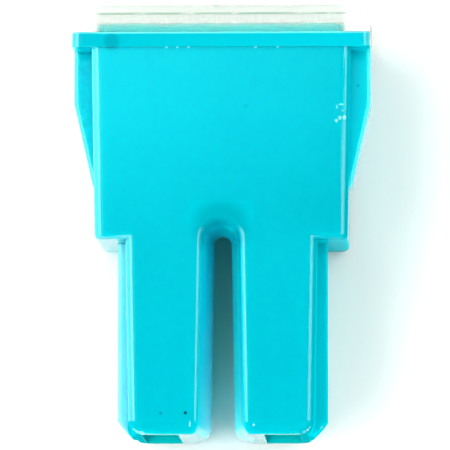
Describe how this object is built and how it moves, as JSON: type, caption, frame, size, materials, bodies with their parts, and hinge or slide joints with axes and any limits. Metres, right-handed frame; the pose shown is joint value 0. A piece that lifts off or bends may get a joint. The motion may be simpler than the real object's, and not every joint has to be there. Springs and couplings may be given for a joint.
{
  "type": "fusible link",
  "caption": "Slow-blow automotive fusible link with a coloured two-legged housing, two female blade sockets, a fusible strip and a clear clip-on cover.",
  "frame": {"origin": "under the middle of the part as it lies on its back: the bottom centre of the bounding box", "axes": "+X across the two legs, +Y from the leg ends to the clear cover, +Z out of the front face"},
  "size_m": [0.022, 0.0318, 0.0125],
  "materials": {
    "housing_nylon": "moulded light-blue nylon, satin gloss",
    "clear_plastic": "clear moulded plastic, slightly milky",
    "copper_alloy": "bare stamped copper alloy",
    "tin": "dull tin",
    "tin_plate": "tin-plated copper alloy, satin",
    "spring_steel": "bright stainless strip"
  },
  "bodies": {
    "root": {"housing": "housing_nylon", "clear_cover": "clear_plastic", "fusible_strip": "copper_alloy", "tin_slug": "tin", "left_terminal": "tin_plate", "right_terminal": "tin_plate", "left_spring": "spring_steel", "right_spring": "spring_steel"}
  },
  "joints": []
}
